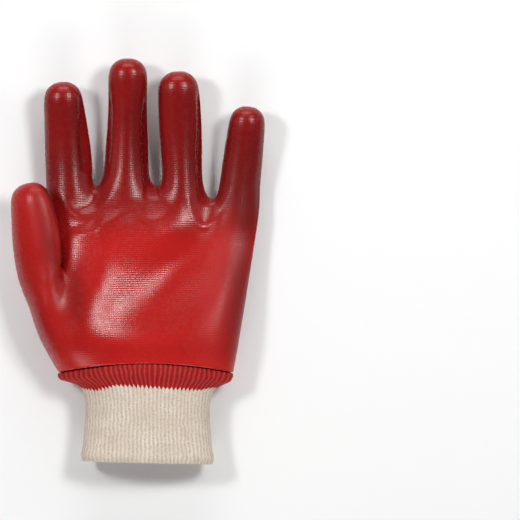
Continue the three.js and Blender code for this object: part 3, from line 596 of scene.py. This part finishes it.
def tube(rings):
    """Faces of a closed ring of rings, each with the same number of points."""
    count, columns = rings.shape[:2]
    numbers = np.arange(count * columns).reshape(count, columns)
    here, over = numbers, np.roll(numbers, -1, axis=0)
    quads = np.stack([here, np.roll(here, -1, 1), np.roll(over, -1, 1), over], axis=-1)
    return quads.reshape(-1, 4)


def knit_piece(name, node, outer_at, rng, lip):
    """A ribbed piece of the wrist: its outer side with the ribs, its inner side and the edges between."""
    sunk, crest = rib_relief(outer_at, SLEEVE.columns, rng, RIB_HEIGHT[name])
    rings = [SLEEVE.place(outer_at, sunk)]
    crests = [crest]
    last_at, first_at = outer_at[-1], outer_at[0]
    if lip:
        for step in range(1, LIP_ROWS + 1):
            turn = math.pi * step / (LIP_ROWS + 1)
            inwards = lerp(sunk[-1], KNIT_WALL, (1 - math.cos(turn)) / 2)
            below = KNIT_WALL / 2 * math.sin(turn)
            rings.append(SLEEVE.place(last_at, inwards, -below)[None])
            crests.append(crest[-1:])
    inner = np.linspace(last_at, first_at, INNER_ROWS)
    rings.append(SLEEVE.place(inner, np.full(inner.shape, KNIT_WALL)))
    crests.append(np.repeat(crest[-1:], INNER_ROWS, axis=0) * INNER_CREST)
    rings = np.concatenate(rings)
    crests = np.concatenate(crests)
    mesh = bpy.data.meshes.new(name)
    mesh.from_pydata((rings.reshape(-1, 3) * MM).tolist(), [], tube(rings)[:, ::-1].tolist())
    mesh.update()
    add_attribute(mesh, "crest", crests.ravel())
    add_attribute(mesh, "pale", crests.ravel() ** BAND_PALE_POWER)
    smooth_shading(mesh)
    made = linked(name, mesh)
    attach(made, "root")
    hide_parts(node)
    print(f"{name}: {2 * len(mesh.polygons)} triangles")
    return made


def build_wrist():
    rng = np.random.default_rng(RANDOM_SEED)
    columns = SLEEVE.columns
    lower = dip_offsets(columns, rng) / SLEEVE_LENGTH
    dip_at = DIP_LENGTH / SLEEVE_LENGTH + lower
    share = np.linspace(0, 1, BAND_ROWS)[:, None]
    top = np.full(columns, -SEAM_OVERLAP / SLEEVE_LENGTH)
    band_at = lerp(top, dip_at, share)
    share = np.linspace(0, 1, CUFF_ROWS)[:, None]
    cuff_at = lerp(dip_at, np.ones(columns), share)
    band = knit_piece("rib_band", "coated_rib_band", band_at, rng, lip=False)
    cuff = knit_piece("knit_wrist", "knit_cuff", cuff_at, rng, lip=True)
    band.data.materials.append(pvc_material("band_pvc", BAND_RED, BAND_PALE, BAND_ROUGHNESS, BAND_GLOSS))
    cuff.data.materials.append(knit_material())


# Materials


class Nodes:
    """A short way to write a node tree."""

    def __init__(self, name):
        self.material = bpy.data.materials.new(name)
        self.material.use_nodes = True
        self.tree = self.material.node_tree
        self.shader = self.tree.nodes["Principled BSDF"]

    def add(self, kind, inputs=None, **settings):
        node = self.tree.nodes.new(kind)
        for key, value in settings.items():
            setattr(node, key, value)
        for key, value in (inputs or {}).items():
            self.feed(node.inputs[key], value)
        return node

    def feed(self, socket, value):
        if isinstance(value, bpy.types.NodeSocket):
            self.tree.links.new(value, socket)
        else:
            socket.default_value = value

    def math(self, operation, a, b=0.0):
        node = self.add("ShaderNodeMath", operation=operation)
        self.feed(node.inputs[0], a)
        self.feed(node.inputs[1], b)
        return node.outputs[0]

    def noise(self, vector, size, detail=2.0, roughness=0.5):
        """Noise from 0 to 1 whose lumps are about size millimetres across."""
        inputs = {"Vector": vector, "Scale": 1 / (size * MM), "Detail": detail, "Roughness": roughness}
        return self.add("ShaderNodeTexNoise", inputs).outputs["Fac"]

    def ramp(self, value, low, high, start=0.0, end=1.0):
        inputs = {"Value": value, "From Min": low, "From Max": high, "To Min": start, "To Max": end}
        return self.add("ShaderNodeMapRange", inputs, clamp=True).outputs[0]

    def mix(self, share, a, b):
        node = self.add("ShaderNodeMix", data_type="RGBA")
        self.feed(node.inputs[0], share)
        self.feed(node.inputs[6], a)
        self.feed(node.inputs[7], b)
        return node.outputs[2]

    def attribute(self, name):
        return self.add("ShaderNodeAttribute", attribute_name=name).outputs["Fac"]

    def bump(self, height, depth, normal=None):
        """A bump of that many millimetres."""
        inputs = {"Height": height, "Distance": depth * MM, "Strength": 1.0}
        node = self.add("ShaderNodeBump", inputs)
        if normal:
            self.feed(node.inputs["Normal"], normal)
        return node.outputs[0]

    def waves(self, coordinate, pitch, shift=0.0):
        """A sine from -1 to 1 along a coordinate in metres."""
        turned = self.math("MULTIPLY_ADD", coordinate, 2 * math.pi / (pitch * MM))
        self.feed(turned.node.inputs[2], shift)
        return self.math("SINE", turned)


def pvc_material(name, dark, pale, roughness, gloss):
    """Glossy PVC with the knit of its liner faintly showing through. The attribute pale mixes two reds; on
    the hand it also carries painted shade and painted light.
    """
    n = Nodes(name)
    place = n.add("ShaderNodeTexCoord").outputs["Object"]
    axes = n.add("ShaderNodeSeparateXYZ", {"Vector": place})
    wobble = n.math("MULTIPLY", n.noise(place, KNIT_PRINT["wobble_size"]), KNIT_PRINT["wobble"])
    rows = n.waves(axes.outputs["Y"], KNIT_PRINT["row"], wobble)
    wales = n.waves(axes.outputs["X"], KNIT_PRINT["wale"], wobble)
    knit = n.math("ADD", rows, n.math("MULTIPLY", wales, KNIT_PRINT["wale_share"]))
    grain = n.noise(place, GRAIN["size"])
    smoother = roughness + GRAIN["smoother"]
    rough = n.ramp(grain, NOISE_LOW, NOISE_HIGH, smoother, roughness + GRAIN["rougher"])
    matt = n.math("MULTIPLY", n.attribute("matt"), MATT_ROUGHNESS)
    n.feed(n.shader.inputs["Roughness"], n.math("ADD", rough, matt))
    n.shader.inputs["Specular IOR Level"].default_value = gloss
    patches = n.noise(place, RED_PATCHES["size"])
    patches = n.ramp(patches, NOISE_LOW, NOISE_HIGH, -RED_PATCHES["most"], RED_PATCHES["most"])
    share = n.math("ADD", n.attribute("pale"), patches)
    share.node.use_clamp = True
    n.feed(n.shader.inputs["Base Color"], n.mix(share, dark, pale))
    lumps = n.bump(n.noise(place, LUMPS["size"], LUMPS["detail"]), LUMPS["depth"])
    n.feed(n.shader.inputs["Normal"], n.bump(knit, KNIT_PRINT["depth"], lumps))
    return n.material


def lining_material():
    """The cream cotton inside the hand, in fine stitches."""
    n = Nodes("cotton_lining")
    place = n.add("ShaderNodeTexCoord").outputs["Object"]
    axes = n.add("ShaderNodeSeparateXYZ", {"Vector": place})
    rows = n.waves(axes.outputs["Y"], LINING["row"])
    wales = n.waves(axes.outputs["X"], LINING["wale"])
    knit = n.math("MULTIPLY", rows, wales)
    n.feed(n.shader.inputs["Base Color"], n.mix(n.ramp(knit, -1, 1), LINING["deep"], LINING["pale"]))
    n.shader.inputs["Roughness"].default_value = COTTON_ROUGHNESS
    n.feed(n.shader.inputs["Normal"], n.bump(knit, LINING["depth"]))
    return n.material


def knit_material():
    """The bare cotton of the cuff, paler on the crests of its ribs as painted light and deeper between them
    as painted shade, with flecks and a fuzz of fibres.
    """
    n = Nodes("cotton_knit")
    place = n.add("ShaderNodeTexCoord").outputs["Object"]
    # painted light on the rib crests and painted shade between them: the crest attribute moves the colour
    # towards the pale one
    crest = n.math("MULTIPLY", n.attribute("crest"), KNIT_FLECKS["crest"])
    flecks = n.noise(place, KNIT_FLECKS["size"], KNIT_FLECKS["detail"])
    patches = n.ramp(n.noise(place, KNIT_PATCHES["size"]), KNIT_PATCHES["low"], KNIT_PATCHES["high"])
    pale = n.mix(patches, *KNIT_PALE)
    deep = n.mix(flecks, *KNIT_DEEP)
    share = n.ramp(n.math("ADD", crest, flecks), KNIT_FLECKS["low"], KNIT_FLECKS["high"])
    n.feed(n.shader.inputs["Base Color"], n.mix(share, deep, pale))
    n.shader.inputs["Roughness"].default_value = COTTON_ROUGHNESS
    n.shader.inputs["Specular IOR Level"].default_value = COTTON_GLOSS
    fuzz = n.noise(place, KNIT_FUZZ["size"], KNIT_FUZZ["detail"])
    n.feed(n.shader.inputs["Normal"], n.bump(fuzz, KNIT_FUZZ["depth"]))
    return n.material


def floor_material():
    n = Nodes("pale_table")
    place = n.add("ShaderNodeTexCoord").outputs["Object"]
    n.feed(n.shader.inputs["Base Color"], n.mix(n.noise(place, FLOOR_PATCHES), *FLOOR_COLOURS))
    n.shader.inputs["Roughness"].default_value = FLOOR_ROUGHNESS
    return n.material


# Table, light and camera


def build_floor():
    bm = bmesh.new()
    bmesh.ops.create_grid(bm, x_segments=1, y_segments=1, size=FLOOR_REACH)
    mesh = bpy.data.meshes.new("table")
    bm.to_mesh(mesh)
    bm.free()
    mesh.materials.append(floor_material())
    table = linked("table", mesh)


def build_lights():
    for row in LIGHTS:
        data = bpy.data.lights.new(row["name"], "AREA")
        data.shape = "RECTANGLE"
        data.size, data.size_y = row["size"]
        data.energy = row["watts"]
        lamp = bpy.data.objects.new(row["name"], data)
        aim = Vector(row["aim"]).normalized()
        lamp.location = aim * row["distance"]
        lamp.rotation_euler = aim.to_track_quat("Z", "Y").to_euler()
        bpy.context.scene.collection.objects.link(lamp)
    world = bpy.data.worlds.new("studio")
    world.use_nodes = True
    tree = world.node_tree
    direction = tree.nodes.new("ShaderNodeTexCoord").outputs["Generated"]
    axes = tree.nodes.new("ShaderNodeSeparateXYZ")
    height = tree.nodes.new("ShaderNodeMapRange")
    height.inputs["To Min"].default_value = HORIZON_LIGHT
    height.inputs["To Max"].default_value = ZENITH_LIGHT
    tree.links.new(direction, axes.inputs[0])
    tree.links.new(axes.outputs["Z"], height.inputs["Value"])
    tree.nodes["Background"].inputs["Color"].default_value = (1, 1, 1, 1)
    tree.links.new(height.outputs[0], tree.nodes["Background"].inputs["Strength"])
    bpy.context.scene.world = world


def build_camera():
    data = bpy.data.cameras.new("camera")
    data.sensor_width = SENSOR
    data.sensor_fit = "HORIZONTAL"
    data.lens = SENSOR * (CAMERA_HEIGHT - VIEW_LEVEL) / VIEW_WIDTH
    data.clip_end = VIEW_END
    camera = bpy.data.objects.new("camera", data)
    camera.location = (VIEW_MIDDLE[0] * MM, VIEW_MIDDLE[1] * MM, CAMERA_HEIGHT * MM)
    bpy.context.scene.collection.objects.link(camera)
    bpy.context.scene.camera = camera
    bpy.context.scene.view_settings.view_transform = "Standard"


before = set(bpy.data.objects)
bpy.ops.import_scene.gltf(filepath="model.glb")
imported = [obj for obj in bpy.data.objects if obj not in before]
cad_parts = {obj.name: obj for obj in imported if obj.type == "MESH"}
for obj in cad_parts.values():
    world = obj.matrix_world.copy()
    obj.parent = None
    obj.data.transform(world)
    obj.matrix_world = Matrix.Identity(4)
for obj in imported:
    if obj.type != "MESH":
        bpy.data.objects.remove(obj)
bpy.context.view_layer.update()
SLEEVE = Sleeve(RIB_COUNT * COLUMNS_PER_RIB)
build_camera()
build_lights()
build_floor()
build_hand()
build_wrist()
